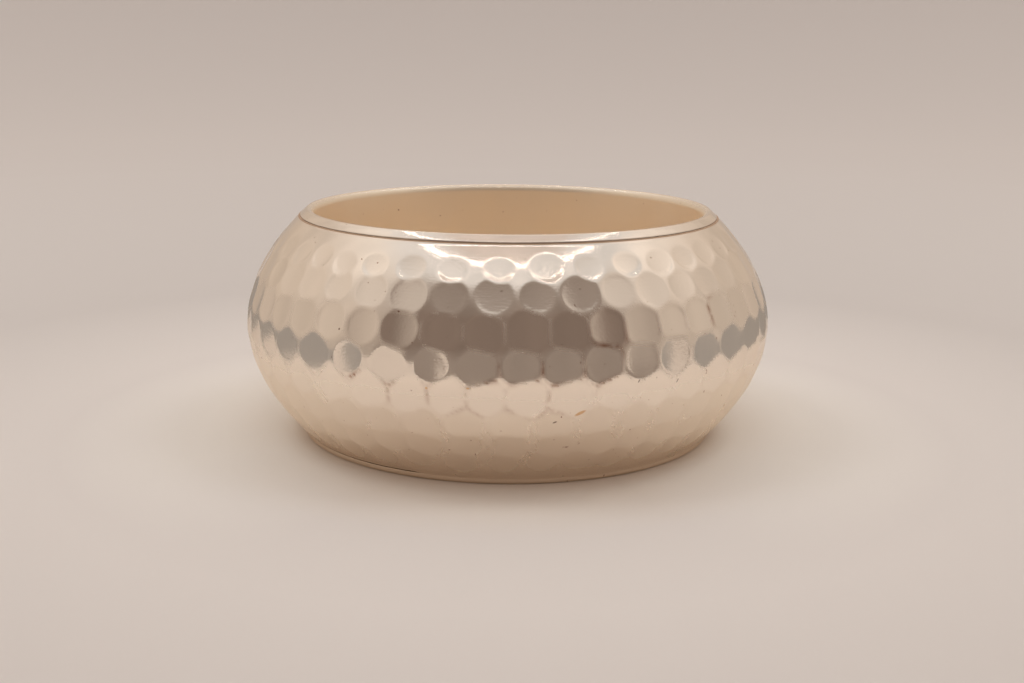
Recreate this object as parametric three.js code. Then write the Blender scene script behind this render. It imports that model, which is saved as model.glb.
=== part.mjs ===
// A wide, rigid, hollow bangle of hammered sheet metal, in millimetres, with +Z up.
// It stands on its lower rim at z = 0, and its axis is the Z axis. The front is towards -Y.
//
// Two pieces of sheet make it. The sleeve is the smooth band next to the wrist, and its edges are turned out
// into narrow rims with rounded sides. The shell is the domed outer wall. Its edges are turned in under the
// rims, and its face is covered in rows of round hammer dents.

import * as THREE from "three";

// ---- Driving dimensions ----

const HEIGHT = 37.6;
const BORE_RADIUS = 32.5; // the opening that the hand goes through

const SLEEVE_WALL = 0.9;
const RIM_RADIUS = 34.75;
const RIM_THICKNESS = 0.95;
const RIM_ROUNDING = 0.5; // on the rim's outer edge
const MOUTH_WIDTH = 1.0; // the curve where the bore turns into the rim takes this much of the rim's width,
const MOUTH_DEPTH = 1.3; // and reaches this far down the bore

const SEAM = 0.3; // the open line between a rim and the shell, and between the shell's lip and the sleeve
const SHELL_WALL = 0.8;
const SHELL_EDGE_RADIUS = 35.05;
const BELLY_RADIUS = 43.9;
const BELLY_POWER = 1.95; // 2 makes the shell's outline a parabola

const DENT_SPREAD = 0.07; // share by which one dent's width differs from the next
const DENT_DRIFT = 0.25; // how far a dent can lie above or below the line of its row
const DENT_LEAN = 0.6; // the rows lie this much lower on the left and higher on the right

// The rows of dents, from the upper edge to the lower one. `down` is the distance of the row from the upper
// edge along the surface. `across` is the width of a dent, and `ball` the radius of the hammer's face. These
// are in mm. `first` is the angle of one dent from the front. The smith's pace is uneven, so the dents bunch
// and spread by `sway` degrees, `swings` times a turn, starting at `lag`.
const DENT_ROWS = [
  { down: 4.0, across: 5.0, ball: 24, count: 39, first: -47.6, sway: 1.5, swings: 4, lag: -3 },
  { down: 8.5, across: 5.7, ball: 22, count: 42, first: -54.3, sway: 0.8, swings: 4, lag: 33 },
  { down: 13.7, across: 6.0, ball: 20, count: 46, first: -51.9, sway: 1.4, swings: 3, lag: 51 },
  { down: 18.8, across: 5.7, ball: 18, count: 43, first: -65.1, sway: 1.0, swings: 4, lag: 108 },
  { down: 23.4, across: 5.7, ball: 28, count: 44, first: -44.4, sway: 0.9, swings: 6, lag: -138 },
  { down: 28.0, across: 5.7, ball: 32, count: 43, first: -41.5, sway: 1.1, swings: 3, lag: 20 },
  { down: 32.3, across: 5.5, ball: 34, count: 42, first: -24.6, sway: 1.2, swings: 5, lag: -16 },
  { down: 36.3, across: 4.9, ball: 36, count: 40, first: -20.0, sway: 1.2, swings: 4, lag: 90 },
];

// Fineness of the faceted surfaces
const COLUMNS_AROUND = 48; // smooth walls
const POINTS_PER_DENT = 4; // around the shell: one in the dent's middle, one on the ridge, and two between
const INSIDE_BANDS = 6;
const OUTLINE_STEPS = 400; // for measuring distances along the shell's outline

// ---- The shell's outline ----

const MIDDLE = HEIGHT / 2;
const SHELL_BOTTOM = RIM_THICKNESS + SEAM;
const SHELL_HALF_HEIGHT = MIDDLE - SHELL_BOTTOM;

// The radius of the smooth shell at a height, before hammering.
function shellRadius(z) {
  const fromMiddle = Math.abs(z - MIDDLE) / SHELL_HALF_HEIGHT;
  return BELLY_RADIUS - (BELLY_RADIUS - SHELL_EDGE_RADIUS) * fromMiddle ** BELLY_POWER;
}

// Points down the outline, each with its distance along the surface from the upper edge.
function measureOutline() {
  const points = [];
  let down = 0;
  for (let step = 0; step <= OUTLINE_STEPS; step += 1) {
    const z = HEIGHT - SHELL_BOTTOM - (2 * SHELL_HALF_HEIGHT * step) / OUTLINE_STEPS;
    const radius = shellRadius(z);
    const last = points.at(-1);
    if (last) {
      down += Math.hypot(radius - last.radius, z - last.z);
    }
    points.push({ down, radius, z });
  }
  return points;
}

const OUTLINE = measureOutline();
const OUTLINE_LENGTH = OUTLINE.at(-1).down;

// The place on the outline at a distance from the upper edge, with the direction that faces out of it.
function outlineAt(down) {
  const next = Math.max(1, OUTLINE.findIndex((point) => point.down >= down - 1e-9));
  const [above, below] = [OUTLINE[next - 1], OUTLINE[next]];
  const share = (down - above.down) / (below.down - above.down);
  const length = below.down - above.down;
  return {
    radius: THREE.MathUtils.lerp(above.radius, below.radius, share),
    z: THREE.MathUtils.lerp(above.z, below.z, share),
    outward: { radius: (above.z - below.z) / length, z: (below.radius - above.radius) / length },
  };
}

// ---- The hammer dents ----

// A number from -1 to 1 that looks random, and is the same in every build. `quality` tells apart the numbers
// that one dent needs.
function uneven(row, strike, quality) {
  const scattered = Math.sin(row * 12.9898 + strike * 78.233 + quality * 37.719) * 43758.5453;
  return 2 * (scattered - Math.floor(scattered)) - 1;
}

function strikeRow(row, index) {
  return Array.from({ length: row.count }, (_, strike) => {
    const even = row.first + (strike * 360) / row.count;
    const swing = THREE.MathUtils.degToRad(row.swings * even + row.lag);
    const angle = THREE.MathUtils.degToRad(even + row.sway * Math.sin(swing));
    return {
      angle,
      down: row.down - DENT_LEAN * Math.sin(angle) + DENT_DRIFT * uneven(index, strike, 1),
      halfWidth: (row.across / 2) * (1 + DENT_SPREAD * uneven(index, strike, 0)),
      ball: row.ball,
    };
  });
}

const STRUCK_ROWS = DENT_ROWS.map(strikeRow);
const DENTS = STRUCK_ROWS.flat();

// How far the hammer has driven the surface in. Where dents overlap, the deepest one is what is left.
function dentDepth(angle, down, radius) {
  let deepest = 0;
  for (const dent of DENTS) {
    const turn = angle - dent.angle;
    const around = radius * Math.atan2(Math.sin(turn), Math.cos(turn));
    const distance = Math.hypot(around, down - dent.down);
    deepest = Math.max(deepest, (dent.halfWidth ** 2 - distance ** 2) / (2 * dent.ball));
  }
  return deepest;
}

// ---- Rings of points, and the surface between them ----

function evenAngles(count) {
  return Array.from({ length: count }, (_, index) => (2 * Math.PI * index) / count);
}

// The angles of the dents in a row, with more between each dent and the next, so that both the middle of a
// dent and the ridge beside it have a point.
function anglesThroughDents(dents) {
  const angles = dents.flatMap(({ angle }, index) => {
    const wrap = index + 1 === dents.length ? 2 * Math.PI : 0;
    const gap = dents[(index + 1) % dents.length].angle + wrap - angle;
    return Array.from({ length: POINTS_PER_DENT }, (_, step) => angle + (gap * step) / POINTS_PER_DENT);
  });
  return angles.map((angle) => THREE.MathUtils.euclideanModulo(angle, 2 * Math.PI)).sort((a, b) => a - b);
}

// A ring of points around the axis. `place` gives the radius and the height at an angle from the front.
function makeRing(angles, place) {
  const points = angles.map((angle) => {
    const { radius, z } = place(angle);
    return new THREE.Vector3(radius * Math.sin(angle), -radius * Math.cos(angle), z);
  });
  return { angles: [...angles, angles[0] + 2 * Math.PI], points: [...points, points[0]] };
}

// Two rings are joined by triangles, stepping along whichever ring is behind, so their points need not match.
function joinRings(ring, nextRing, addTriangle) {
  let here = 0;
  let there = 0;
  while (here < ring.points.length - 1 || there < nextRing.points.length - 1) {
    const start = ring.points[here];
    const far = nextRing.points[there];
    const angleHere = ring.angles[here + 1] ?? Infinity;
    const angleThere = nextRing.angles[there + 1] ?? Infinity;
    if (angleHere <= angleThere) {
      here += 1;
      addTriangle(start, far, ring.points[here]);
    } else {
      there += 1;
      addTriangle(start, far, nextRing.points[there]);
    }
  }
}

// A closed body whose cross-section runs through the rings in turn and back to the first.
function bodyThroughRings(rings) {
  const positions = [];
  const addTriangle = (...corners) => corners.forEach((corner) => positions.push(...corner.toArray()));
  rings.forEach((ring, index) => joinRings(ring, rings[(index + 1) % rings.length], addTriangle));
  const geometry = new THREE.BufferGeometry();
  geometry.setAttribute("position", new THREE.Float32BufferAttribute(positions, 3));
  geometry.computeVertexNormals();
  return geometry;
}

// ---- The pieces ----

// The sleeve's cross-section from the bore's lower end, out along the lower rim, up the sleeve's back and in
// along the upper rim. The upper half is the lower half mirrored.
function sleeveSection() {
  const back = BORE_RADIUS + SLEEVE_WALL;
  const mouth = new THREE.EllipseCurve(
    BORE_RADIUS + MOUTH_WIDTH, MOUTH_DEPTH, MOUTH_WIDTH, MOUTH_DEPTH, Math.PI, 1.5 * Math.PI,
  ).getPoints(4);
  const edge = new THREE.EllipseCurve(
    RIM_RADIUS - RIM_ROUNDING, RIM_ROUNDING, RIM_ROUNDING, RIM_ROUNDING, 1.5 * Math.PI, 2 * Math.PI,
  ).getPoints(3);
  const underside = [
    new THREE.Vector2(RIM_RADIUS, RIM_THICKNESS),
    new THREE.Vector2(back, RIM_THICKNESS),
  ];
  const lower = [...mouth, ...edge, ...underside];
  const upper = lower.map((point) => new THREE.Vector2(point.x, HEIGHT - point.y)).reverse();
  return [...lower, ...upper, lower[0].clone()];
}

function makeSleeve() {
  const geometry = new THREE.LatheGeometry(sleeveSection(), COLUMNS_AROUND);
  return geometry.rotateX(Math.PI / 2);
}

// One ring of the hammered face. It leans as the rows of dents do.
function hammeredRing(down, angles, lean = DENT_LEAN) {
  return makeRing(angles, (angle) => {
    const here = down - lean * Math.sin(angle);
    const { radius, z, outward } = outlineAt(here);
    const depth = dentDepth(angle, here, radius);
    return { radius: radius - depth * outward.radius, z: z - depth * outward.z };
  });
}

// The hammered face, from the upper edge down: a ring through the middles of each row of dents, and one
// between each row and the next.
function hammeredFace() {
  const through = STRUCK_ROWS.map(anglesThroughDents);
  const smoothEdge = (DENT_ROWS[0].down - DENT_ROWS[0].across / 2) / 2;
  const rings = [hammeredRing(0, evenAngles(COLUMNS_AROUND), 0), hammeredRing(smoothEdge, through[0], 0)];
  DENT_ROWS.forEach((row, index) => {
    rings.push(hammeredRing(row.down, through[index]));
    const next = DENT_ROWS[index + 1];
    if (next) {
      rings.push(hammeredRing((row.down + next.down) / 2, through[index]));
    }
  });
  rings.push(hammeredRing(OUTLINE_LENGTH - smoothEdge, through.at(-1), 0));
  rings.push(hammeredRing(OUTLINE_LENGTH, evenAngles(COLUMNS_AROUND), 0));
  return rings;
}

function makeShell() {
  const columns = evenAngles(COLUMNS_AROUND);

  // The smooth inner side of the sheet, from the lower edge up, one wall thickness behind the outline.
  const inside = Array.from({ length: INSIDE_BANDS + 1 }, (_, band) => {
    const { radius, z, outward } = outlineAt(OUTLINE_LENGTH * (1 - band / INSIDE_BANDS));
    const place = { radius: radius - SHELL_WALL * outward.radius, z: z - SHELL_WALL * outward.z };
    return makeRing(columns, () => place);
  });

  // The lips reach in under the rims, almost to the sleeve.
  const lipRadius = BORE_RADIUS + SLEEVE_WALL + SEAM;
  const lipBack = SHELL_BOTTOM - SHELL_WALL * outlineAt(OUTLINE_LENGTH).outward.z;
  const lowerLip = [SHELL_BOTTOM, lipBack];
  const upperLip = [HEIGHT - lipBack, HEIGHT - SHELL_BOTTOM];
  const lipRing = (z) => makeRing(columns, () => ({ radius: lipRadius, z }));

  return bodyThroughRings([
    ...hammeredFace(),
    ...lowerLip.map(lipRing),
    ...inside,
    ...upperLip.map(lipRing),
  ]);
}

// ---- The bangle ----

const polishedSilver = new THREE.MeshStandardMaterial({ color: 0xd9c7a8, roughness: 0.3, metalness: 1 });
const hammeredSilver = new THREE.MeshStandardMaterial({ color: 0xdccdb8, roughness: 0.22, metalness: 1 });

function makePiece(name, geometry, material) {
  const mesh = new THREE.Mesh(geometry, material);
  mesh.name = name;
  return mesh;
}

const bangle = new THREE.Group();
bangle.add(
  makePiece("inner_sleeve", makeSleeve(), polishedSilver),
  makePiece("outer_shell", makeShell(), hammeredSilver),
);

export default bangle;
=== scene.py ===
# %% [markdown]
# # A hammered silver bangle
#
# This lesson builds the finish of a wide, hollow bangle around a model that already has the right sizes. The
# bangle is made of two pieces of silver-plated sheet. A smooth sleeve sits next to the wrist, and its two
# edges are turned out into narrow rims. Around it goes a domed shell, hammered all over, whose edges are
# tucked in under the rims. A thin dark seam shows where the two meet.
#
# The engineering model holds the sizes. Here each piece is made again as a fine mesh, in the same place, with
# its real curves and with a procedural finish. The first cell loads that model as a fixed frame. Everything
# after it is in metres, with Z up and the front towards -Y.

# %% Load the frame
import math

import bpy
import numpy as np
from mathutils import Matrix, Vector


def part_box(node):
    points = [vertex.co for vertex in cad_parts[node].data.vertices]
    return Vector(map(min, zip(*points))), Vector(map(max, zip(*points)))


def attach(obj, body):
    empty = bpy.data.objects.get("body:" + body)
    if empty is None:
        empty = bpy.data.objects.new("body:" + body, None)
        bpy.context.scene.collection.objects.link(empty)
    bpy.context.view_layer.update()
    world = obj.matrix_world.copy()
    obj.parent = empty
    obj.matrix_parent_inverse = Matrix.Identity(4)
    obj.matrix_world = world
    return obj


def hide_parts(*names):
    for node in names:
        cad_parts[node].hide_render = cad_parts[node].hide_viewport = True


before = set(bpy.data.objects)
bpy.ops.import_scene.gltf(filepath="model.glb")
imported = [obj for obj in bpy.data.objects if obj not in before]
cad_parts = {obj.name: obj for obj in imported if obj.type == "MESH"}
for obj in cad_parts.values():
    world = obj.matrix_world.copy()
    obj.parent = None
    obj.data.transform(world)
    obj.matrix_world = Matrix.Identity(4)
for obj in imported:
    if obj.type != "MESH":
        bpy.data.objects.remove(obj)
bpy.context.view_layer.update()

MM = 0.001  # one millimetre, in metres
sleeve_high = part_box("inner_sleeve")[1]
shell_low, shell_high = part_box("outer_shell")

# %% [markdown]
# ## The camera
#
# A piece of jewellery on a table is usually seen from a little above, close up. The camera stands about 23 cm
# from the bangle's middle and 7 cm above the table, and looks slightly down. A longer lens from further away
# would flatten the bangle. This close, the front is clearly larger than the back, which is part of the look.

# %% Place the camera
CAMERA_PLACE = (0.76 * MM, -230.4 * MM, 66.3 * MM)
CAMERA_LOOKS_DOWN = math.radians(12.75)
CAMERA_LEANS = math.radians(0.49)  # nobody holds a camera quite level
LENS_MM = 48.2
SENSOR_MM = 36

camera = bpy.data.objects.new("camera", bpy.data.cameras.new("camera"))
camera.data.lens = LENS_MM
camera.data.sensor_width = SENSOR_MM
camera.data.clip_start = 10 * MM
camera.matrix_world = (
    Matrix.Translation(CAMERA_PLACE)
    @ Matrix.Rotation(math.pi / 2 - CAMERA_LOOKS_DOWN, 4, "X")
    @ Matrix.Rotation(CAMERA_LEANS, 4, "Z")
)
bpy.context.scene.collection.objects.link(camera)
bpy.context.scene.camera = camera
bpy.context.scene.view_settings.view_transform = "Standard"
view_width = 2 * math.degrees(math.atan(SENSOR_MM / 2 / LENS_MM))
print(f"camera view is {view_width:.0f} degrees wide")

# %% [markdown]
# ## Small helpers
#
# Both pieces of the bangle, and the table with its sweep, are surfaces that run round the Z axis. So one
# helper is enough for all of them: it takes rings of points and joins each ring to the next with four-sided
# faces. Writing the mesh this way, and not with modifiers, gives every point a known place, so that later
# cells can store facts about the surface on those points.

# %% Helper: a surface through rings
def surface_through_rings(name, rings, closed, materials):
    """rings is an array of rings x columns x 3, in metres. Closed: the last ring is joined to the first."""
    ring_count, columns = rings.shape[:2]
    here = np.arange(ring_count if closed else ring_count - 1)[:, None]
    column = np.arange(columns)[None, :]
    there = (here + 1) % ring_count
    beside = (column + 1) % columns
    corners = [
        here * columns + column, there * columns + column,
        there * columns + beside, here * columns + beside,
    ]
    faces = np.stack(np.broadcast_arrays(*corners), axis=-1).reshape(-1, 4)
    mesh = bpy.data.meshes.new(name)
    mesh.from_pydata(rings.reshape(-1, 3), [], faces.tolist())
    for material in materials:
        mesh.materials.append(material)
    mesh.polygons.foreach_set("use_smooth", np.ones(len(faces), bool))
    mesh.update()
    piece = bpy.data.objects.new(name, mesh)
    bpy.context.scene.collection.objects.link(piece)
    print(f"{name}: {len(mesh.vertices)} points, {2 * len(faces)} triangles")
    return piece


# %% Helper: points round the axis
def around_axis(angles, radius, height):
    """Points at angles from the front, turning towards +X. radius and height are in mm."""
    x = radius * np.sin(angles)
    y = -radius * np.cos(angles)
    return np.stack(np.broadcast_arrays(x, y, height), axis=-1) * MM


# %% Helper: facts about the surface
def write_on_points(piece, name, values):
    """Stores one number for each point, ring by ring."""
    numbers = values.ravel().astype(np.float32)
    piece.data.attributes.new(name, "FLOAT", "POINT").data.foreach_set("value", numbers)


def paint_rings(piece, columns, rings):
    """Gives the faces that start at each of these rings the piece's second material."""
    index = np.zeros(len(piece.data.polygons), int)
    for ring in rings:
        index[ring * columns : (ring + 1) * columns] = 1
    piece.data.polygons.foreach_set("material_index", index)


# %% Helper: shader nodes
NOISE_RANGE = (0.3, 0.7)  # nearly all of a noise's values lie between these


def new_material(name):
    """An empty material, with its nodes and its links."""
    material = bpy.data.materials.new(name)
    material.use_nodes = True
    material.node_tree.nodes.clear()
    return material, material.node_tree.nodes, material.node_tree.links


def plug(links, node, **sockets):
    """Sets a node's inputs by name, with _ for a space: a socket is linked, and a plain value is set."""
    for name, value in sockets.items():
        socket = node.inputs[name.replace("_", " ")]
        if isinstance(value, bpy.types.NodeSocket):
            links.new(value, socket)
        else:
            socket.default_value = value
    return node


def stored(nodes, name):
    """A fact about the surface that a piece has stored on its points."""
    node = nodes.new("ShaderNodeAttribute")
    node.attribute_name = name
    return node.outputs["Fac"]


def distance_from_origin(nodes, links, place):
    node = nodes.new("ShaderNodeVectorMath")
    node.operation = "LENGTH"
    return plug(links, node, Vector=place).outputs["Value"]


def blend(nodes, links, share, first, second):
    """A colour that goes from first to second as share goes from 0 to 1."""
    node = nodes.new("ShaderNodeMix")
    node.data_type = "RGBA"
    return plug(links, node, Factor=share, A=first, B=second).outputs["Result"]


def sum_up(nodes, links, operation, first, second=None):
    """One step of arithmetic on numbers that change over the surface."""
    node = nodes.new("ShaderNodeMath")
    node.operation = operation
    for socket, value in zip(node.inputs, (first, second)):
        if isinstance(value, bpy.types.NodeSocket):
            links.new(value, socket)
        elif value is not None:
            socket.default_value = value
    return node.outputs["Value"]


def stretch(nodes, links, value, low, high, to_low=0.0, to_high=1.0):
    """Maps the range low to high onto another range, and stops at its ends."""
    node = nodes.new("ShaderNodeMapRange")
    plug(links, node, Value=value, From_Min=low, From_Max=high, To_Min=to_low, To_Max=to_high)
    return node.outputs["Result"]


# %% [markdown]
# ## The table and its sweep
#
# The bangle lies on a pale matt sheet that curves up behind it, so that no line shows where table ends and
# wall begins. Such a sheet is called a sweep. Here the table is a flat disc, and the sweep goes all the way
# round, like a wide bowl, so that the bangle can be seen from any side. The sweep shows itself only to the
# camera. The light comes from the sky of the scene, and passes through the sweep as if it were not there.
#
# A real sheet isn't lit evenly. Close round the bangle it takes on some of the warm glow of the silver, most
# of all on both sides, where the silver throws the side lights down on it. Further out it loses a little
# light towards the tent's walls, and gains some again where it bends up. The material does that with a tone
# for each distance from the middle, and one more for the two bright patches.

# %% Make the table and the sweep
TABLE_RADIUS = 450  # mm, and so are the next two
SWEEP_CURVE = 500
SWEEP_WALL = 900
SHEET_COLUMNS = 128
SWEEP_RINGS = 24
SHEET_REACH = 0.9  # metres from the middle to the last of these tones
SHEET_TONES = [
    (0.00, (0.89, 0.81, 0.73, 1)),
    (0.047, (0.89, 0.81, 0.73, 1)),
    (0.063, (0.86, 0.80, 0.76, 1)),
    (0.09, (0.86, 0.80, 0.76, 1)),
    (0.15, (0.76, 0.705, 0.67, 1)),
    (0.60, (0.96, 0.905, 0.865, 1)),
    (1.00, (1.0, 0.97, 0.95, 1)),
]
SIDE_GLOW = (0.98, 0.93, 0.87, 1)
SIDE_GLOW_STARTS = (0.034, 0.037)  # metres from the middle between which the glow fades in
SIDE_GLOW_ENDS = (0.052, 0.075)  # and out
SIDE_GLOW_FACES = (0.45, 0.9)  # 0 is straight in front or behind, 1 is straight to the side


def colours_along(nodes, links, share, colours):
    """Runs through a list of (place from 0 to 1, colour)."""
    ramp = plug(links, nodes.new("ShaderNodeValToRGB"), Fac=share)
    stops = ramp.color_ramp.elements
    stops[0].position, stops[0].color = colours[0]
    stops[1].position, stops[1].color = colours[-1]
    for position, colour in colours[1:-1]:
        stops.new(position).color = colour
    return ramp.outputs["Color"]


def sheet_material():
    material, nodes, links = new_material("pale_sheet")
    place = nodes.new("ShaderNodeTexCoord").outputs["Object"]
    distance = distance_from_origin(nodes, links, place)
    shade = colours_along(nodes, links, sum_up(nodes, links, "DIVIDE", distance, SHEET_REACH), SHEET_TONES)

    right = plug(links, nodes.new("ShaderNodeSeparateXYZ"), Vector=place).outputs["X"]
    sideways = sum_up(nodes, links, "DIVIDE", sum_up(nodes, links, "ABSOLUTE", right), distance)
    faces = stretch(nodes, links, sideways, *SIDE_GLOW_FACES)
    outside = stretch(nodes, links, distance, *SIDE_GLOW_STARTS)
    close = stretch(nodes, links, distance, *SIDE_GLOW_ENDS, 1.0, 0.0)
    beside = sum_up(nodes, links, "MULTIPLY", outside, close)
    shade = blend(nodes, links, sum_up(nodes, links, "MULTIPLY", faces, beside), shade, SIDE_GLOW)
    matt = plug(links, nodes.new("ShaderNodeBsdfDiffuse"), Color=shade, Roughness=0.5)
    plug(links, nodes.new("ShaderNodeOutputMaterial"), Surface=matt.outputs["BSDF"])
    return material


def make_table_and_sweep():
    angles = np.linspace(0, 2 * math.pi, SHEET_COLUMNS, endpoint=False)
    table_radii = [0.1, 60, 200, TABLE_RADIUS]
    table_rings = np.stack([around_axis(angles, radius, 0) for radius in table_radii])
    bend = np.linspace(0, math.pi / 2, SWEEP_RINGS)
    radii = np.append(TABLE_RADIUS + SWEEP_CURVE * np.sin(bend), TABLE_RADIUS + SWEEP_CURVE)
    heights = np.append(SWEEP_CURVE * (1 - np.cos(bend)), SWEEP_CURVE + SWEEP_WALL)
    sweep_rings = np.stack([around_axis(angles, radius, height) for radius, height in zip(radii, heights)])
    material = sheet_material()
    table = surface_through_rings("table", table_rings[::-1], False, [material])
    sweep = surface_through_rings("sweep", sweep_rings[::-1], False, [material])
    sweep.visible_diffuse = False
    sweep.visible_glossy = False
    sweep.visible_shadow = False


make_table_and_sweep()

# %% [markdown]
# ## The tent
#
# Polished metal has hardly any look of its own. What it shows is the room around it, bent by its shape, so
# the room has to be built with as much care as the bangle. This one is a small tent of white cloth, and it is
# painted on the scene's sky, by direction:
#
# * the walls glow softly all round, and get brighter with height
# * where the walls end, about 58 degrees up, comes a belt of cooler light, and then the warmer ceiling
# * towards the front the tent is open to a dark room, and that opening fills the middle of the bangle's
#   front. Its sides are soft, because the cloth is drawn aside there
#
# The cloth hangs in slight folds, so its glow isn't even. Without that unevenness, the dents on the bangle's
# sides would all show the same plain colour, and could hardly be seen.

# %% Paint the tent on the sky
WALL_COLOURS = [  # by height of the direction: 0 is level, 1 is straight up
    (0.00, (0.53, 0.455, 0.40, 1)),
    (0.17, (0.57, 0.487, 0.42, 1)),
    (0.50, (0.66, 0.575, 0.51, 1)),
    (0.77, (0.86, 0.785, 0.73, 1)),
    (0.85, (0.75, 0.72, 0.71, 1)),
    (0.93, (0.75, 0.72, 0.71, 1)),
    (0.955, (0.70, 0.61, 0.57, 1)),
]
OPENING_COLOURS = [
    (0.00, (0.29, 0.24, 0.21, 1)),
    (0.25, (0.21, 0.16, 0.135, 1)),
    (0.60, (0.215, 0.165, 0.14, 1)),
    (0.82, (0.32, 0.27, 0.24, 1)),
]
OPENING_SIDES = [  # how open the tent is, by angle from the front in degrees
    (0, 1.0),
    (46, 1.0),
    (53, 0.55),
    (66, 0.35),
    (86, 0.0),
]
OPENING_TOP = (0.81, 0.86)
FOLD_DEPTH = 0.10  # share by which folds lighten and darken the cloth
FOLD_STRETCH = (4.0, 4.0, 1.2)  # folds are longer upwards than sideways
FOLD_SCALE = 1.3


def paint_tent():
    world = bpy.data.worlds.new("tent")
    world.use_nodes = True
    nodes, links = world.node_tree.nodes, world.node_tree.links
    nodes.clear()
    direction = nodes.new("ShaderNodeTexCoord").outputs["Generated"]
    parts = plug(links, nodes.new("ShaderNodeSeparateXYZ"), Vector=direction).outputs
    height = parts["Z"]

    walls = colours_along(nodes, links, height, WALL_COLOURS)
    opening = colours_along(nodes, links, height, OPENING_COLOURS)
    frontward = sum_up(nodes, links, "MULTIPLY", parts["Y"], -1.0)
    turn = sum_up(nodes, links, "ABSOLUTE", sum_up(nodes, links, "ARCTAN2", parts["X"], frontward))
    sides = [(degrees / 180, (share, share, share, 1)) for degrees, share in OPENING_SIDES]
    in_front = colours_along(nodes, links, sum_up(nodes, links, "DIVIDE", turn, math.pi), sides)
    under_top = stretch(nodes, links, height, *OPENING_TOP, 1.0, 0.0)
    openness = sum_up(nodes, links, "MULTIPLY", in_front, under_top)

    hanging = plug(links, nodes.new("ShaderNodeMapping"), Vector=direction, Scale=FOLD_STRETCH)
    cloth = nodes.new("ShaderNodeTexNoise")
    folds = plug(links, cloth, Vector=hanging.outputs["Vector"], Scale=FOLD_SCALE, Detail=1.0)
    uneven_glow = stretch(nodes, links, folds.outputs["Fac"], *NOISE_RANGE, 1 - FOLD_DEPTH, 1 + FOLD_DEPTH)

    glow = plug(
        links, nodes.new("ShaderNodeBackground"),
        Color=blend(nodes, links, openness, walls, opening), Strength=uneven_glow,
    )
    plug(links, nodes.new("ShaderNodeOutputWorld"), Surface=glow.outputs["Background"])
    bpy.context.scene.world = world
    print("sky:", len(nodes), "nodes")


paint_tent()

# %% [markdown]
# ## The ring of lamps
#
# In the tent's ceiling is a ring of small bright lamps. Its mirror image is the string of sharp white sparks
# that runs along the top of the first row of dents. A ring of separate points sparkles more than an even
# tube, so every lamp is bright in its middle and dim between it and the next. The ring's middle lies a little
# behind the bangle's. From there its image falls on the upper arcs of the dents in front, and not on the
# smooth edge above them.

# %% Hang the ring of lamps
RING_HEIGHT = 385  # mm, and so are the next three
RING_RADIUS = 198
RING_BACK = 36
RING_WIDTH = 2
LAMP_COUNT = 120
POINTS_PER_LAMP = 4
LAMP_COLOUR = (1.0, 0.965, 0.94, 1)
LAMP_BRIGHTNESS = 18.0
GAP_BRIGHTNESS = 1.0


def lamp_material():
    material, nodes, links = new_material("lamps")
    level = stretch(nodes, links, stored(nodes, "bright"), 0.0, 1.0, GAP_BRIGHTNESS, LAMP_BRIGHTNESS)
    glow = plug(links, nodes.new("ShaderNodeEmission"), Color=LAMP_COLOUR, Strength=level)
    plug(links, nodes.new("ShaderNodeOutputMaterial"), Surface=glow.outputs["Emission"])
    return material


def hang_ring():
    angles = np.linspace(0, 2 * math.pi, LAMP_COUNT * POINTS_PER_LAMP, endpoint=False)
    radii = (RING_RADIUS - RING_WIDTH / 2, RING_RADIUS + RING_WIDTH / 2)
    rings = np.stack([around_axis(angles, radius, RING_HEIGHT) for radius in radii])
    ring = surface_through_rings("ring_of_lamps", rings, False, [lamp_material()])
    write_on_points(ring, "bright", np.tile(0.5 + 0.5 * np.cos(angles * LAMP_COUNT), 2))
    ring.location.y = RING_BACK * MM
    ring.visible_camera = False


hang_ring()

# %% [markdown]
# ## The work lights
#
# The ring alone would leave the table dim. Four broad round lights fill it. The two at the sides are slanted
# enough to reach in under the belly, and high enough that the bangle's shadow stays short. One over the
# camera shines into the bore and on its far wall, and the last hangs straight overhead. They light only dull
# things. On the metal their images would hide the ring's.

# %% Hang the work lights
WORK_LIGHT_WIDTH = 180 * MM
WORK_LIGHT_COLOUR = (0.96, 1.0, 0.98)
WORK_LIGHTS = [
    ("left", -240, 0, 420, 0.26),  # name, mm to the right, mm back, mm up, watts
    ("right", 240, 0, 420, 0.25),
    ("front", 0, -260, 330, 0.05),
    ("middle", 0, 0, 600, 0.06),
]


def hang_work_light(name, right, back, up, power):
    lamp = bpy.data.objects.new("work_light_" + name, bpy.data.lights.new("work_light_" + name, "AREA"))
    lamp.data.shape = "DISK"
    lamp.data.size = WORK_LIGHT_WIDTH
    lamp.data.energy = power
    lamp.data.color = WORK_LIGHT_COLOUR
    lamp.location = (right * MM, back * MM, up * MM)
    lamp.rotation_euler = lamp.location.to_track_quat("Z", "Y").to_euler()
    lamp.visible_camera = False
    lamp.visible_glossy = False
    bpy.context.scene.collection.objects.link(lamp)


for work_light in WORK_LIGHTS:
    hang_work_light(*work_light)
print("work lights:", len(WORK_LIGHTS))

# %% [markdown]
# ## Beyond the sheet
#
# The white sheet doesn't reach far. In front it ends about 12 cm from the bangle's middle, and beyond it the
# table is dark. On both sides a dark strip shows past the sheet, at the tent's foot. The camera sees none of
# that, but the bangle does: it is what makes the round dark spots in the fourth row of dents. These cards are
# painted shade. Each glows with a fixed dark colour, lies just above the sheet and shows only in reflections.

# %% Lay the dark cards
CARD_HEIGHT = 0.3  # mm above the sheet
CARD_COLUMNS = 24
# each card glows with painted shade, seen only in reflections
DARK_CARDS = [  # name, near and far edge in mm from the middle, first and last angle in degrees, colour
    ("painted_shade_front", 122, 440, -30, 60, (0.28, 0.23, 0.20, 1)),
    ("painted_shade_left", 126, 440, -150, -62, (0.34, 0.31, 0.29, 1)),
    ("painted_shade_right", 126, 440, 72, 150, (0.34, 0.31, 0.29, 1)),
]


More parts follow.
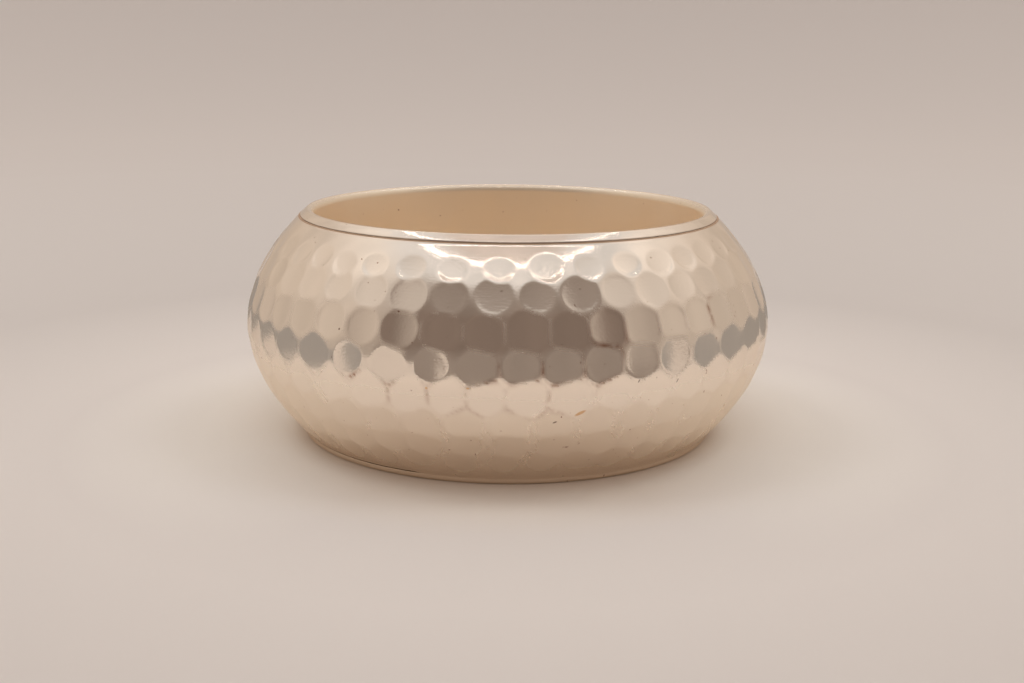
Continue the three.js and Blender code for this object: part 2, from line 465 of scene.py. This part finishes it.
def lay_card(name, near, far, start, end, colour):
    """A flat card that is a part of a ring round the bangle, and glows with painted shade."""
    angles = np.radians(np.linspace(start, end, CARD_COLUMNS))
    mesh = bpy.data.meshes.new(name)
    points = np.concatenate([around_axis(angles, radius, CARD_HEIGHT) for radius in (near, far)])
    count = len(angles)
    faces = [(index, index + 1, count + index + 1, count + index) for index in range(count - 1)]
    mesh.from_pydata(points, [], faces)
    material, nodes, links = new_material(name)
    # painted shade: the card glows with its fixed colour, which no lamp changes
    glow = plug(links, nodes.new("ShaderNodeEmission"), Color=colour, Strength=1.0)
    plug(links, nodes.new("ShaderNodeOutputMaterial"), Surface=glow.outputs["Emission"])
    mesh.materials.append(material)
    card = bpy.data.objects.new(name, mesh)
    card.visible_camera = False
    card.visible_diffuse = False
    card.visible_shadow = False
    bpy.context.scene.collection.objects.link(card)


for dark_card in DARK_CARDS:
    lay_card(*dark_card)
print("dark cards:", len(DARK_CARDS))

# %% [markdown]
# ## The shell's outline
#
# Cut the shell in half and the cut is a shallow bow: about 35 mm tall, and almost 9 mm further out at the
# belly than at the edges. It is very nearly a parabola. A maker gets this bow by spinning or pressing a sheet
# over a former. Here it is one formula. Places on the shell are given by the angle from the front and by the
# distance down the surface from the upper edge, as a tape laid on it would read. For that, the outline is cut
# into short steps whose lengths are added up.

# %% Measure the outline
BORE_RADIUS = 32.5  # mm, as are all sizes of the pieces below
SHELL_EDGE_RADIUS = 35.05
BELLY_RADIUS = 43.9
BELLY_POWER = 1.95  # 2 would make the outline a parabola
OUTLINE_STEPS = 2000

height_of_bangle = sleeve_high.z / MM
rim_radius = sleeve_high.x / MM
shell_top = shell_high.z / MM
shell_bottom = shell_low.z / MM
shell_middle = (shell_top + shell_bottom) / 2
half_height = (shell_top - shell_bottom) / 2

outline_heights = np.linspace(shell_top, shell_bottom, OUTLINE_STEPS + 1)
from_middle = np.abs(outline_heights - shell_middle) / half_height
outline_radii = BELLY_RADIUS - (BELLY_RADIUS - SHELL_EDGE_RADIUS) * from_middle**BELLY_POWER
steps = np.hypot(np.diff(outline_heights), np.diff(outline_radii))
outline_downs = np.append(0, np.cumsum(steps))
outline_length = outline_downs[-1]
print(f"the shell's outline is {outline_length:.2f} mm long, the rim's radius {rim_radius:.2f} mm")


def outline_at(down):
    """Radius, height and the outward direction (radial, upward) at distances down the surface."""
    nudge = 0.01  # mm to either side, for the direction
    before = np.clip(down - nudge, 0, outline_length)
    after = np.clip(down + nudge, 0, outline_length)
    radius = np.interp(down, outline_downs, outline_radii)
    height = np.interp(down, outline_downs, outline_heights)
    along_radius, along_height = [
        np.interp(after, outline_downs, side) - np.interp(before, outline_downs, side)
        for side in (outline_radii, outline_heights)
    ]
    length = np.hypot(along_radius, along_height)
    return radius, height, -along_height / length, along_radius / length


# %% [markdown]
# ## The hammer dents
#
# A planishing hammer has a slightly domed face, so each blow leaves a shallow round dish. The smith works
# round the shell in rows, turning it a little between blows. The rows are even in height, but the pace is not
# quite even, so neighbouring rows don't line up, and here and there two dents crowd each other. Where dents
# overlap, a soft ridge is left between them. In the first row the blows are lighter and stand apart, so the
# smooth metal of the edge runs down between them in little wedges.
#
# A Voronoi texture as bump could fake this, but the outline would stay smooth and each dish would reflect the
# wrong part of the room. So each dent is a real dish in the mesh. `down` is the distance of a row from the
# upper edge, `across` the width of a dent and `ball` the radius of the hammer's face, all in mm. A flatter
# face leaves a shallower dent, so the lower rows are the faintest.
#
# A blow is seldom quite square. `tilt` is how many degrees the hammer leans down in a row, and every blow
# adds a small lean of its own. `bite` is how far, in mm, the face sinks in past its own curve, which gives
# the dent a short steep wall. `first` is the angle of one dent from the front. The pace drifts by `sway`
# degrees, `swings` times a turn, starting at `lag`. The last piece of the pattern is a slow one: all the rows
# lie a little lower on the left than on the right.

# %% Chart the rows of dents
DENT_SPREAD = 0.07  # share by which one dent's width differs from the next
DENT_DRIFT = 0.25  # mm that a dent can lie above or below the line of its row
DENT_LEAN = 0.6  # mm that a row lies lower on the left, and higher on the right
TILT_SPREAD = 0.7  # degrees by which a blow is out of true

DENT_COLUMNS = ("down", "across", "ball", "tilt", "bite", "count", "first", "sway", "swings", "lag")
DENT_ROWS = [
    dict(zip(DENT_COLUMNS, (4.0, 5.0, 24, 2.0, 0.012, 39, -47.6, 1.5, 4, -3))),
    dict(zip(DENT_COLUMNS, (8.5, 5.7, 24, 0.0, 0.004, 42, -54.3, 0.8, 4, 33))),
    dict(zip(DENT_COLUMNS, (13.7, 6.0, 20, 0.0, 0.006, 46, -51.9, 1.4, 3, 51))),
    dict(zip(DENT_COLUMNS, (18.8, 5.7, 18, 0.0, 0.006, 43, -65.1, 1.0, 4, 108))),
    dict(zip(DENT_COLUMNS, (23.4, 5.7, 24, 0.0, 0.0, 44, -44.4, 0.9, 6, -138))),
    dict(zip(DENT_COLUMNS, (28.0, 5.7, 26, 0.0, 0.0, 43, -41.5, 1.1, 3, 20))),
    dict(zip(DENT_COLUMNS, (32.3, 5.5, 28, 0.0, 0.0, 42, -24.6, 1.2, 5, -16))),
    dict(zip(DENT_COLUMNS, (36.3, 4.9, 30, 0.0, 0.0, 40, -20.0, 1.2, 4, 90))),
]


def uneven(row, strike, quality):
    """A number from -1 to 1 that looks random, and is the same each time."""
    scattered = math.sin(row * 12.9898 + strike * 78.233 + quality * 37.719) * 43758.5453
    return 2 * (scattered - math.floor(scattered)) - 1


def strikes():
    """Each blow: angle in radians, distance down, half its width, ball, bite, and slopes down and across."""
    found = []
    for index, row in enumerate(DENT_ROWS):
        for strike in range(row["count"]):
            even = row["first"] + strike * 360 / row["count"]
            angle = even + row["sway"] * math.sin(math.radians(row["swings"] * even + row["lag"]))
            lean = DENT_LEAN * math.sin(math.radians(angle))
            down = row["down"] - lean + DENT_DRIFT * uneven(index, strike, 1)
            half_width = row["across"] / 2 * (1 + DENT_SPREAD * uneven(index, strike, 0))
            slope_down = math.radians(row["tilt"] + TILT_SPREAD * uneven(index, strike, 2))
            slope_across = math.radians(TILT_SPREAD * uneven(index, strike, 3))
            shape = (half_width, row["ball"], row["bite"], slope_down, slope_across)
            found.append((math.radians(angle), down, *shape))
    return found


print("hammer blows:", len(strikes()))

# %% [markdown]
# Each dish is a paraboloid: deepest in the middle, and less and less deep towards its rim. Over the last half
# a millimetre the depth is eased out to nothing, because the sheet bends there and isn't cut. Where two
# dishes meet, the deeper one is what is left, but the change from one to the other is softened. Metal doesn't
# fold to a knife edge, and wear rounds it further.
#
# The finish will need two more facts about each point. It is raised metal when it lies near no dent's middle.
# It is on a crease when the nearest dent and the second nearest are about equally far. Distances are counted
# in half widths of a dent, so that small dents and large ones are treated alike.

# %% Work out the depth of the dents
BITE_WIDTH = 0.45  # mm over which a dent's wall fades out
RIDGE_SOFTNESS = 0.022  # mm
CREASE_WIDTH = 0.5  # in half widths of a dent
SHARP_BALL = 20  # dents left by a face flatter than this meet in softer ridges
SOFTENING = 2.5  # how fast they soften
DENT_REACH = 1.6  # half widths from a dent's middle, within which it matters
NO_DENT = 9.0  # half widths, for points that no dent is near
RAISED = (0.8, 1.0)  # half widths from the nearest dent's middle, where raised metal begins and is full
CREASED = (1.1, 1.25)  # and where a crease starts to fade, and ends


def dent_depths(angles, downs, radii):
    """Depth in mm, and how much each point is raised metal and crease between dents, from 0 to 1."""
    total = np.ones((len(downs), len(angles)))  # the untouched surface counts as a dent of no depth
    nearest = np.full_like(total, NO_DENT)  # how far the nearest dent's middle is, in half widths
    second = np.full_like(total, NO_DENT)
    sharpness = np.zeros_like(total)  # shallow dents leave no ridge to speak of
    for angle, down, half_width, ball, bite, slope_down, slope_across in strikes():
        rows = np.nonzero(np.abs(downs - down) < DENT_REACH * half_width)[0]
        turn = (angles - angle + math.pi) % (2 * math.pi) - math.pi
        columns = np.nonzero(np.abs(turn) < DENT_REACH * half_width / SHELL_EDGE_RADIUS)[0]
        here = np.ix_(rows, columns)
        sideways = radii[rows][:, None] * turn[columns][None, :]
        upright = (downs[rows] - down)[:, None]
        distance = np.hypot(sideways, upright)
        slant = slope_down * upright + slope_across * sideways
        dish = bite + (half_width**2 - distance**2) / (2 * ball) + slant
        inside = np.clip((half_width - distance) / BITE_WIDTH, 0, 1)
        depth = np.maximum(dish, 0) * inside**2 * (3 - 2 * inside)
        total[here] += np.exp(depth / RIDGE_SOFTNESS) - 1
        away = distance / half_width
        second[here] = np.minimum(second[here], np.maximum(nearest[here], away))
        nearest[here] = np.minimum(nearest[here], away)
        sharp = min(SHARP_BALL / ball, 1) ** SOFTENING
        sharpness[here] = np.where(nearest[here] == away, sharp, sharpness[here])
    raised = np.interp(nearest, RAISED, (0, 1))
    between = np.clip(1 - (second - nearest) / CREASE_WIDTH, 0, 1)
    crease = between * np.interp(nearest, CREASED, (1, 0)) * sharpness
    return RIDGE_SOFTNESS * np.log(total), raised, crease


# %% [markdown]
# Tarnish starts where a polishing cloth doesn't reach: in the creases. There are a few clear brown lines,
# and more of them on the front's right than on its left. Their places are charted here, and each one fades
# with distance. Below the belly, where the cloth seldom goes, all the creases are faintly tarnished.

# %% Chart the tarnish
FAINT_TARNISH = 0.14  # of the creases below the belly
BELOW_BELLY = (20.5, 24.0)  # mm down the surface, where the lower half begins and is full
TARNISH_FADES = 1.5  # reaches from a place's middle to the end of its tarnish
TARNISH_PLACES = [  # degrees to the right of the front, mm down from the upper edge, mm reach
    (-22.5, 23.5, 1.8),
    (-15.0, 23.0, 1.5),
    (-7.5, 25.0, 2.8),
    (0.6, 25.3, 1.0),
    (8.2, 24.5, 3.4),
    (17.0, 22.0, 1.4),
    (-1.5, 20.5, 2.6),
    (8.0, 20.0, 2.2),
    (17.5, 19.5, 2.6),
    (20.0, 15.0, 2.8),
    (-31.0, 21.5, 1.6),
    (47.0, 13.0, 2.0),
    (128.0, 17.0, 3.0),
    (-140.0, 15.0, 2.6),
]


def below_belly(downs):
    """0 on the upper half of the shell, and 1 from a little below the belly."""
    return np.interp(downs, BELOW_BELLY, (0, 1))


def tarnish_from(crease, angles, downs):
    """How brown each point is, from 0 to 1. Angles in radians, downs in mm, crease as a grid of both."""
    brown = np.zeros_like(crease) + FAINT_TARNISH * below_belly(downs)[:, None]
    for turn, down, reach in TARNISH_PLACES:
        sideways = BELLY_RADIUS * ((angles - math.radians(turn) + math.pi) % (2 * math.pi) - math.pi)
        distance = np.hypot(sideways[None, :], (downs - down)[:, None])
        brown = np.maximum(brown, np.clip(TARNISH_FADES - distance / reach, 0, 1))
    return brown * crease**2


print("places with tarnish:", len(TARNISH_PLACES))


# %% [markdown]
# A few knocks went through the plating. The largest is a slanting tan nick on the front's lower right. Each
# is a small oval, charted by its place, its size and the way it leans. The material finds it by measuring how
# far a point is from the oval's middle, after the oval has been stretched to a ball.

# %% Chart the nicks
NICK_TAN = (0.76, 0.51, 0.30, 1)
NICK_DARK = (0.30, 0.22, 0.17, 1)
NICK_FADES = (1.0, 0.6)  # where a nick begins and is full, in half its size from its middle
NICK_COLUMNS = ("right", "down", "length", "width", "lean", "colour")
NICKS = [  # degrees to the right of the front, then mm, and degrees of lean
    dict(zip(NICK_COLUMNS, (14.3, 25.9, 2.1, 0.6, 28, NICK_TAN))),
    dict(zip(NICK_COLUMNS, (9.5, 27.4, 0.8, 0.32, 25, NICK_DARK))),
    dict(zip(NICK_COLUMNS, (-15.0, 22.1, 0.5, 0.45, 0, NICK_TAN))),
    dict(zip(NICK_COLUMNS, (-7.1, 21.8, 0.6, 0.35, 0, NICK_TAN))),
    dict(zip(NICK_COLUMNS, (25.8, 21.5, 0.7, 0.22, 60, NICK_DARK))),
    dict(zip(NICK_COLUMNS, (34.9, 22.3, 0.8, 0.22, 60, NICK_DARK))),
    dict(zip(NICK_COLUMNS, (-34.5, 15.0, 0.4, 0.4, 0, NICK_DARK))),
]


def nick_mask(nodes, links, place, nick):
    """1 on a nick, 0 elsewhere."""
    turn, lean = math.radians(nick["right"]), math.radians(nick["lean"])
    radius, height, out, up = [float(part) for part in outline_at(np.array(nick["down"]))]
    outward = Vector((out * math.sin(turn), -out * math.cos(turn), up))
    level = Vector((math.cos(turn), math.sin(turn), 0))
    along = math.cos(lean) * level + math.sin(lean) * outward.cross(level)
    axes = Matrix((along, outward.cross(along), outward)).transposed()
    oval = plug(
        links, nodes.new("ShaderNodeMapping"), Vector=place,
        Location=around_axis(turn, radius, height), Rotation=axes.to_euler(),
        Scale=(nick["length"] / 2 * MM, nick["width"] / 2 * MM, 1.0 * MM),
    )
    oval.vector_type = "TEXTURE"
    away = distance_from_origin(nodes, links, oval.outputs["Vector"])
    return stretch(nodes, links, away, *NICK_FADES)


print("nicks:", len(NICKS))


# %% [markdown]
# ## The finish of the metal
#
# Silver plate that has been worn is a warm, slightly yellow white. Four things keep it from being a mirror:
#
# * the bottom of each dent is a little dull, while the raised metal between dents is rubbed bright. Only the
#   creases themselves are scuffed and dull
# * below the belly, where the bangle rubs on tables, all of it is duller
# * a fine grain covers everything, and fine scratches run round the bangle and smear reflections up and down
# * tarnish sits in the creases, and there are a few nicks and specks
#
# The bore is satin: it was never polished as the outside was, and it rubs against skin. A satin surface
# scatters some light like a matt one, so there the material is only partly metallic.

# %% Silver finish
SILVER = (0.97, 0.87, 0.755, 1)
SMEARED_SILVER = (0.941, 0.844, 0.732, 1)
SILVER_EDGE_TINT = (0.97, 0.93, 0.88, 1)
TARNISH = (0.34, 0.16, 0.09, 1)
SATIN = (0.98, 0.84, 0.66, 1)
SATIN_METALLIC = 0.6
SCRATCH_DEPTH = 0.0030 * MM
SCRATCH_STRETCH = (250.0, 250.0, 4500.0)  # thin in height, long round the bangle
GRAIN_DEPTH = 0.0060 * MM
GRAIN_SCALE = 2400.0  # this and the other noise scales count grains in a metre, more or less
RUBBING_SCALE = 150.0
RUBBING = (0.8, 1.25)  # by which uneven rubbing multiplies the roughness
SCUFFED_ROUGHNESS = 0.30  # added where dents meet
RUBBED_ROUGHNESS = 0.17  # added below the belly
SPECKS = (1300.0, 0.76, 0.84)  # noise scale, and the noise levels where a spot begins and is full
TARNISH_GAPS = (700.0, 0.28, 0.48)


def speckle(nodes, links, place, scale, low, high):
    """1 in small scattered spots, 0 elsewhere."""
    noise = plug(links, nodes.new("ShaderNodeTexNoise"), Vector=place, Scale=scale, Detail=1.0)
    return stretch(nodes, links, noise.outputs["Fac"], low, high)


def wear(nodes, links, place, shade, rough):
    """Lays tarnish, scuffed creases, the duller lower half and the nicks over a shade and a roughness."""
    gaps = speckle(nodes, links, place, *TARNISH_GAPS)
    stain = sum_up(nodes, links, "MULTIPLY", stored(nodes, "tarnish"), gaps)
    shade = blend(nodes, links, stain, shade, TARNISH)
    ridge = sum_up(nodes, links, "POWER", stored(nodes, "crease"), 2.0)
    scuffed = sum_up(nodes, links, "MULTIPLY", ridge, SCUFFED_ROUGHNESS)
    dulled = sum_up(nodes, links, "MULTIPLY", stored(nodes, "rubbed"), RUBBED_ROUGHNESS)
    for added in (scuffed, dulled):
        rough = sum_up(nodes, links, "ADD", rough, added)
    for nick in NICKS:
        shade = blend(nodes, links, nick_mask(nodes, links, place, nick), shade, nick["colour"])
    return shade, rough


def grain_and_scratches(nodes, links, place):
    """The direction of the surface, once the grain and the scratches have roughened it."""
    along = plug(links, nodes.new("ShaderNodeMapping"), Vector=place, Scale=SCRATCH_STRETCH)
    lines = nodes.new("ShaderNodeTexNoise")
    scratches = plug(links, lines, Vector=along.outputs["Vector"], Scale=1.0, Detail=2.0)
    grain = plug(links, nodes.new("ShaderNodeTexNoise"), Vector=place, Scale=GRAIN_SCALE, Detail=2.0)
    share = SCRATCH_DEPTH / GRAIN_DEPTH
    scratch_height = sum_up(nodes, links, "MULTIPLY", scratches.outputs["Fac"], share)
    height = sum_up(nodes, links, "ADD", scratch_height, grain.outputs["Fac"])
    relief = plug(links, nodes.new("ShaderNodeBump"), Height=height, Strength=1.0, Distance=GRAIN_DEPTH)
    return relief.outputs["Normal"]


def silver_material(name, bright_fact, dull_roughness, bright_roughness, tarnished=False):
    """Silver plate. bright_fact is the stored fact that says where it is bright."""
    material, nodes, links = new_material(name)
    place = nodes.new("ShaderNodeTexCoord").outputs["Object"]
    bright = stored(nodes, bright_fact)
    rubbing = nodes.new("ShaderNodeTexNoise")
    plug(links, rubbing, Vector=place, Scale=RUBBING_SCALE, Detail=4.0, Roughness=0.6)
    smears = rubbing.outputs["Fac"]

    rough = stretch(nodes, links, bright, 0.0, 1.0, dull_roughness, bright_roughness)
    rough = sum_up(nodes, links, "MULTIPLY", rough, stretch(nodes, links, smears, *NOISE_RANGE, *RUBBING))
    shade = blend(nodes, links, smears, SILVER, SMEARED_SILVER)
    metallic = 1.0
    if tarnished:
        shade, rough = wear(nodes, links, place, shade, rough)
    else:
        shade = blend(nodes, links, bright, SATIN, shade)
        metallic = stretch(nodes, links, bright, 0.0, 1.0, SATIN_METALLIC, 1.0)
    shade = blend(nodes, links, speckle(nodes, links, place, *SPECKS), shade, TARNISH)

    metal = plug(
        links, nodes.new("ShaderNodeBsdfPrincipled"),
        Base_Color=shade, Metallic=metallic, Roughness=rough, Specular_Tint=SILVER_EDGE_TINT,
        Normal=grain_and_scratches(nodes, links, place),
    )
    plug(links, nodes.new("ShaderNodeOutputMaterial"), Surface=metal.outputs["BSDF"])
    return material


# %% [markdown]
# Behind the seams the sheet was never plated or polished. It is dull and brown, with darker stains. Only a
# thin line of it ever shows, so a noise that mixes two browns is enough.

# %% Raw metal
RAW_METAL = (0.62, 0.42, 0.28, 1)
RAW_STAIN = (0.42, 0.26, 0.16, 1)
STAIN_SCALE = 400.0


def raw_inside_material():
    material, nodes, links = new_material("raw_inside")
    place = nodes.new("ShaderNodeTexCoord").outputs["Object"]
    stain = plug(links, nodes.new("ShaderNodeTexNoise"), Vector=place, Scale=STAIN_SCALE, Detail=3.0)
    shade = blend(nodes, links, stain.outputs["Fac"], RAW_METAL, RAW_STAIN)
    metal = plug(
        links, nodes.new("ShaderNodeBsdfPrincipled"),
        Base_Color=shade, Metallic=0.2, Roughness=0.6,
    )
    plug(links, nodes.new("ShaderNodeOutputMaterial"), Surface=metal.outputs["BSDF"])
    return material


raw_inside = raw_inside_material()
hammered_silver = silver_material(
    "hammered_silver", "raised", dull_roughness=0.13, bright_roughness=0.09, tarnished=True
)
worn_silver = silver_material("worn_silver", "polish", dull_roughness=0.38, bright_roughness=0.12)
print("finishes:", [finish.name for finish in (hammered_silver, worn_silver, raw_inside)])

# %% [markdown]
# ## The shell
#
# The face of the shell has eight hundred columns round it, fine enough that no flat facet shows in a
# reflection. Its edges are rounded over and run in under the rims. Just before they do, they curl a little
# towards the rim, so the seam is narrow. The silver ends where the upper edge begins to round over, and what
# shows in the upper seam is the brown raw metal. The lower edge mirrors the upper one, but keeps its silver.
#
# The seam at the bottom isn't even. The shell has settled against the lower rim almost all the way round, and
# only on the front's left is the seam still open to its full width. So the shell's lower edge is drawn down
# everywhere but there.

# %% Shape of the shell's edge
SHELL_WALL = 0.8
LIP_RADIUS = 33.7  # where the shell's edges end, under the rims
EDGE_ROUNDING = 0.25
EDGE_STEPS = 5
CURL_RADIUS = 34.65  # where the curl is full, just inside the rim's outer edge
EDGE_LIFT = 0.12  # how far the edge curls towards the rim
SEAM_CLOSES_BY = 0.16
OPEN_SEAM = (math.radians(-61), math.radians(-22))
SEAM_OPENS_OVER = math.radians(3)
EDGE_GIVES = 1.5  # how far up from the lower edge the metal has moved with it
SHARP_FROM = math.radians(50)  # an edge that turns further than this isn't smoothed over in the shading


def rounded_edge():
    """Points of the upper edge, from under the rim out to the outline, and how far down that is joined."""
    out, up = [float(part) for part in outline_at(np.array(0.0))[2:]]
    slope = math.atan2(up, out)
    tangent = EDGE_ROUNDING * math.tan((math.pi / 2 - slope) / 2)
    turn = np.linspace(math.pi / 2, slope, EDGE_STEPS + 1)[:-1]
    centre = SHELL_EDGE_RADIUS - tangent
    radii = centre + EDGE_ROUNDING * np.cos(turn)
    lift = np.linspace(EDGE_LIFT, 0, EDGE_STEPS + 1)[:-1]
    heights = shell_top - EDGE_ROUNDING + EDGE_ROUNDING * np.sin(turn) + lift
    return [(CURL_RADIUS, shell_top + EDGE_LIFT), *zip(radii, heights)], tangent


def seam_drop(angles, heights):
    """How far the shell's lower edge has settled, in mm, at each height and angle."""
    into_gap = np.minimum(angles - OPEN_SEAM[0], OPEN_SEAM[1] - angles)
    closed = np.clip(0.5 - into_gap / SEAM_OPENS_OVER, 0, 1)
    near_edge = np.clip(1 - (heights - shell_bottom) / EDGE_GIVES, 0, 1) ** 2
    return SEAM_CLOSES_BY * closed * near_edge


# %% Make the shell
SHELL_COLUMNS = 800
SHELL_BANDS = 104


def make_shell():
    angles = np.linspace(-math.pi, math.pi, SHELL_COLUMNS, endpoint=False)
    edge, edge_end = rounded_edge()
    downs = np.linspace(edge_end, outline_length - edge_end, SHELL_BANDS + 1)
    radius, height, out, up = outline_at(downs)
    depth, raised, crease = dent_depths(angles, downs, radius)
    face_radius = radius[:, None] - depth * out[:, None]
    face_height = height[:, None] - depth * up[:, None]
    face_height = face_height - seam_drop(angles[None, :], face_height)

    upper_edge = [around_axis(angles, *point) for point in edge]
    lower_edge = []
    for edge_radius, edge_height in reversed(edge):
        mirrored = 2 * shell_middle - edge_height
        lower_edge.append(around_axis(angles, edge_radius, mirrored - seam_drop(angles, mirrored)))
    lip_low = shell_bottom - seam_drop(angles, shell_bottom)

    inner_downs = np.array([outline_length, outline_length / 2, 0])
    radius, height, out, up = outline_at(inner_downs)
    hidden = [
        (LIP_RADIUS, lip_low),
        (LIP_RADIUS, shell_bottom - SHELL_WALL * up[0]),
        *zip(radius - SHELL_WALL * out, height - SHELL_WALL * up),
        (LIP_RADIUS, shell_top - SHELL_WALL * up[-1]),
        (LIP_RADIUS, shell_top),
    ]
    hidden_rings = [around_axis(angles, *point) for point in hidden]
    face_rings = around_axis(angles[None, :], face_radius, face_height)
    rings = np.stack([*upper_edge, *face_rings, *lower_edge, *hidden_rings])
    shell = surface_through_rings("hammered_shell", rings, True, [hammered_silver, raw_inside])
    paint_rings(shell, SHELL_COLUMNS, range(len(edge) - 1))
    shell.data.set_sharp_from_angle(angle=SHARP_FROM)

    facts = [  # name, its value off the hammered face, its values on it
        ("raised", 1.0, raised),
        ("crease", 0.0, crease),
        ("tarnish", 0.0, tarnish_from(crease, angles, downs)),
        ("rubbed", 0.0, below_belly(downs)[:, None]),
    ]
    for name, elsewhere, on_face in facts:
        values = np.full((len(rings), SHELL_COLUMNS), elsewhere)
        values[len(edge) : len(edge) + len(downs)] = on_face
        write_on_points(shell, name, values)
    print(f"deepest dent {depth.max():.2f} mm")
    return shell


hammered_shell = make_shell()

# %% [markdown]
# ## The sleeve
#
# The sleeve is a smooth tube whose ends turn out into rims. The bore runs into each rim in a broad curve, so
# that it slides over the hand. The lower rim's outer edge is rounded to match. The upper rim falls away
# outwards in a soft slope, and that slope catches the light of the tent's wall all the way round. Only the
# rims are polished. They also get a little wobble in their height, about a hundredth of a millimetre, which
# breaks their bright lines up into glints, as on the real thing.

# %% Make the sleeve
SLEEVE_COLUMNS = 720
SLEEVE_WALL = 0.9
RIM_THICKNESS = 0.95
UPPER_RIM_THICKNESS = 1.06
SILVER_RETURN = 0.5  # how far the silver reaches in behind a rim's outer edge
MOUTH_WIDTH = 1.0
MOUTH_DEPTH = 1.3
EDGE_WIDTH = 0.6
EDGE_DEPTH = 0.42
CHAMFER_ROUNDING = 0.5
CHAMFER_SLOPE = 42  # degrees
CORNER_CUT = 0.06  # of the corner between slope and outer edge
CORNER_DROP = 0.02
RIM_WOBBLE = 0.004
WOBBLES_PER_TURN = (41, 67, 97)


def quarter_oval(centre_radius, centre_height, width, depth, start, steps):
    """Points on a quarter of an oval, turning anticlockwise from a start angle in degrees."""
    turn = np.radians(start + np.linspace(0, 90, steps))
    return list(zip(centre_radius + width * np.cos(turn), centre_height + depth * np.sin(turn)))


def rim_outlines():
    """Radius and height along the lower rim and the upper rim, in the order in which they are joined."""
    back = BORE_RADIUS + SLEEVE_WALL
    crown = BORE_RADIUS + MOUTH_WIDTH
    mouth = quarter_oval(crown, MOUTH_DEPTH, MOUTH_WIDTH, MOUTH_DEPTH, start=180, steps=12)
    edge = quarter_oval(rim_radius - EDGE_WIDTH, EDGE_DEPTH, EDGE_WIDTH, EDGE_DEPTH, start=270, steps=10)
    rounding = [
        (crown + CHAMFER_ROUNDING * math.sin(turn), CHAMFER_ROUNDING * (1 - math.cos(turn)))
        for turn in np.radians(np.linspace(0, CHAMFER_SLOPE, 8))[1:]
    ]
    slope_end = rounding[-1][1] + (rim_radius - rounding[-1][0]) * math.tan(math.radians(CHAMFER_SLOPE))
    corner = [(rim_radius - CORNER_CUT, slope_end - CORNER_CUT), (rim_radius, slope_end + CORNER_DROP)]
    print(f"the upper rim slopes down {slope_end:.2f} of its {UPPER_RIM_THICKNESS} mm")
    way_back = (rim_radius, rim_radius - SILVER_RETURN, back)
    lower, upper = [
        [*mouth, *outside, *[(radius, thickness) for radius in way_back]]
        for outside, thickness in ((edge[1:], RIM_THICKNESS), ([*rounding, *corner], UPPER_RIM_THICKNESS))
    ]
    return lower, [(radius, height_of_bangle - depth) for radius, depth in reversed(upper)]


def make_sleeve():
    lower, upper = rim_outlines()
    radii = np.array([radius for radius, height in lower + upper])
    polish = np.clip((radii - BORE_RADIUS) / MOUTH_WIDTH, 0, 1)
    angles = np.linspace(0, 2 * math.pi, SLEEVE_COLUMNS, endpoint=False)
    wobble = sum(RIM_WOBBLE * np.sin(times * angles + times) for times in WOBBLES_PER_TURN)
    rings = np.stack([
        around_axis(angles, radius, height + share * wobble)
        for (radius, height), share in zip(lower + upper, polish)
    ])
    sleeve = surface_through_rings("smooth_sleeve", rings, True, [worn_silver, raw_inside])
    under_rim = len(lower) - 2
    paint_rings(sleeve, SLEEVE_COLUMNS, range(under_rim, under_rim + 3))  # behind both rims, and the back
    sleeve.data.set_sharp_from_angle(angle=SHARP_FROM)
    write_on_points(sleeve, "polish", np.repeat(polish, SLEEVE_COLUMNS))
    return sleeve


smooth_sleeve = make_sleeve()

# %% [markdown]
# ## Put the pieces on the model
#
# Nothing on this bangle moves, so both pieces ride on the model's one body. Each stands for the plain piece
# that it was made from, and that piece is hidden.

# %% Tie the pieces to the frame
for piece, node, finish in (
    (hammered_shell, "outer_shell", "hammered_shell"),
    (smooth_sleeve, "inner_sleeve", "polished_sleeve"),
):
    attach(piece, "root")
    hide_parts(node)
